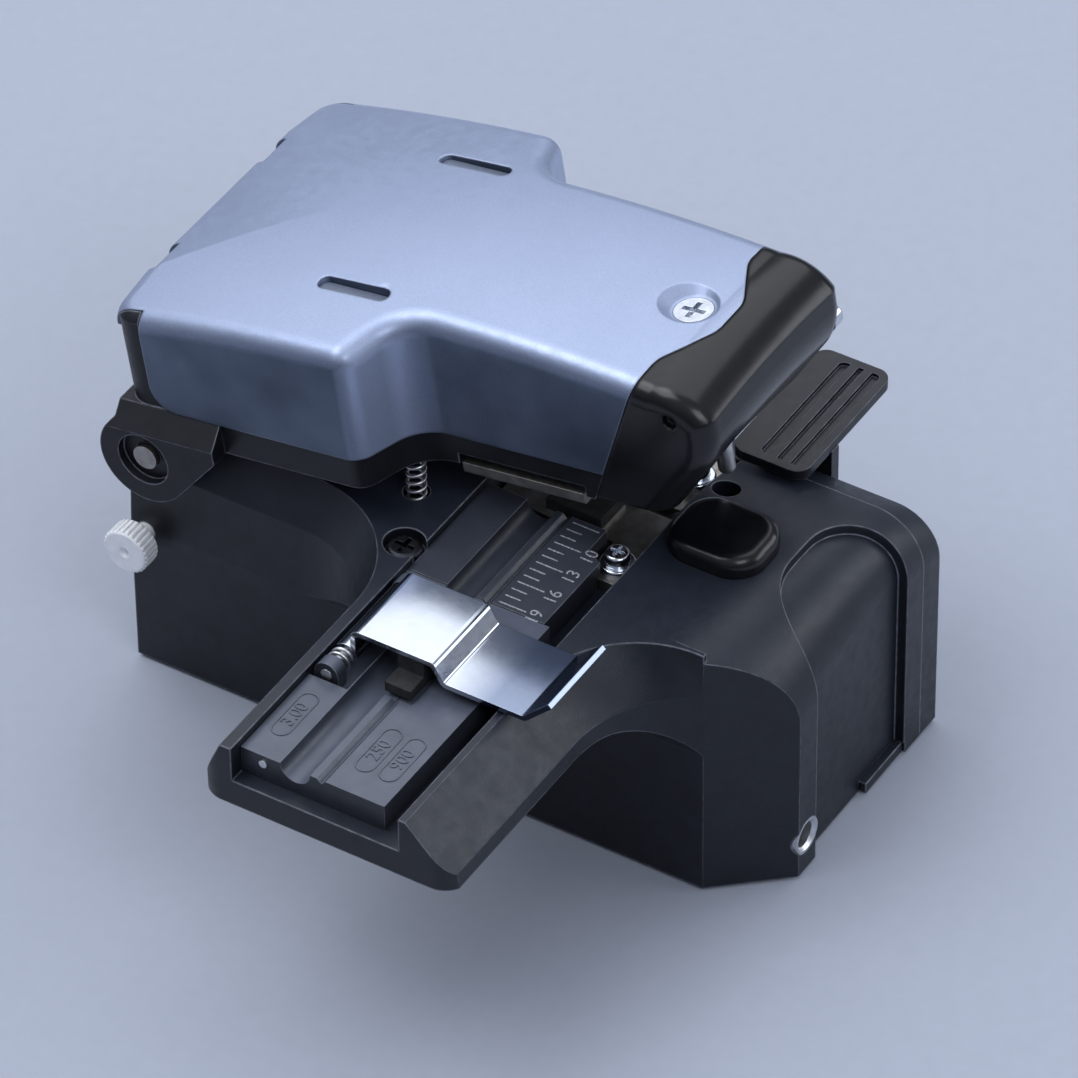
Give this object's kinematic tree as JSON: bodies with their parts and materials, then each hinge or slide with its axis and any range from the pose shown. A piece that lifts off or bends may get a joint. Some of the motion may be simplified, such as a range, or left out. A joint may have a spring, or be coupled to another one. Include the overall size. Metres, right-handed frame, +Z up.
{
  "type": "fibre cleaver",
  "caption": "Bench fibre cleaver: hinged painted lid with clamps over a sliding blade, and a side arm with a ruled fibre holder and sheet clip.",
  "frame": {"origin": "on the ground, on the rubber mat's underside, straight below the cleaving point", "axes": "X along the fibre, the holder arm points to -X; +Y back to the lid hinge; +Z up"},
  "size_m": [0.0714, 0.0669, 0.0495],
  "materials": {
    "body_black": "fine cast grain, matte black",
    "cover_blue": "blue grey metallic paint",
    "frame_black": "satin black",
    "nose_gloss": "glossy black",
    "chrome": "polished",
    "steel": "satin",
    "bronze": "satin",
    "clamp_steel": "satin brown grey",
    "rubber": "matte black",
    "carbide": "ground",
    "tab_black": "satin black"
  },
  "bodies": {
    "base": {"base_housing": "body_black", "side_cover": "body_black", "side_cover_screws": "steel", "bottom_plate": "body_black", "bottom_plate_screws": "steel", "base_mat": "rubber", "threaded_insert": "chrome", "arm_screw": "steel", "rest_pad": "nose_gloss", "fibre_holder_plate": "body_black", "ruler_plate": "body_black", "holder_screws": "steel", "holder_dowel": "steel", "clip_hinge_pin": "steel", "clip_spring": "steel", "lower_clamp_base": "clamp_steel", "lower_clamp_pads": "rubber", "clamp_screws": "chrome", "slide_rods": "chrome", "hinge_pin": "steel", "lid_spring": "steel"},
    "lid": {"lid_cover": "cover_blue", "nose_cap": "nose_gloss", "lid_frame": "frame_black", "lid_screw": "chrome", "striker_pin": "steel", "clamp_springs": "steel"},
    "upper_clamp_set": {"upper_clamp": "clamp_steel", "upper_clamp_pads": "rubber", "clamp_guide_pins": "steel"},
    "anvil_set": {"anvil": "rubber", "anvil_holder": "clamp_steel"},
    "lock": {"lock_pin": "chrome"},
    "carriage": {"blade_carriage": "frame_black", "carriage_bushes": "bronze", "blade_axle": "steel", "thumb_tab": "tab_black", "tab_screws": "steel"},
    "blade": {"blade_disc": "carbide"},
    "clip": {"fibre_clip": "chrome", "clip_pad": "rubber"},
    "knob": {"thumb_screw": "chrome"}
  },
  "joints": [
    {"name": "lid_hinge", "type": "hinge", "parent": "base", "child": "lid", "pos_m": [0, 0.0358, 0.0266], "axis": [-1, 0, 0], "range_deg": [-8.5, 66], "deforming": ["lid_spring"]},
    {"name": "clamp_slide", "type": "slide", "parent": "lid", "child": "upper_clamp_set", "axis": [0, 0.1478, 0.989], "range_m": [0, 0.0006], "stiffness_N_per_m": 300, "springref_m": -0.001, "deforming": ["clamp_springs"]},
    {"name": "anvil_slide", "type": "slide", "parent": "lid", "child": "anvil_set", "axis": [0, 0.1478, 0.989], "range_m": [0, 0.0004], "stiffness_N_per_m": 300, "springref_m": -0.001},
    {"name": "lock_press", "type": "slide", "parent": "lid", "child": "lock", "axis": [-1, 0, 0], "range_m": [0, 0.0012], "stiffness_N_per_m": 100, "springref_m": -0.001},
    {"name": "carriage_slide", "type": "slide", "parent": "base", "child": "carriage", "axis": [0, 1, 0], "range_m": [0, 0.024]},
    {"name": "blade_spin", "type": "hinge", "parent": "carriage", "child": "blade", "pos_m": [0, -0.0117, 0.01885], "axis": [1, 0, 0], "continuous": true},
    {"name": "clip_hinge", "type": "hinge", "parent": "base", "child": "clip", "pos_m": [-0.0275, 0.0065, 0.0272], "axis": [-1, 0, 0], "range_deg": [0, 75], "stiffness_Nm_per_rad": 0.002, "springref_deg": -20.05},
    {"name": "knob_spin", "type": "hinge", "parent": "base", "child": "knob", "pos_m": [-0.0168, 0.0376, 0.0157], "axis": [1, 0, 0], "continuous": true}
  ]
}
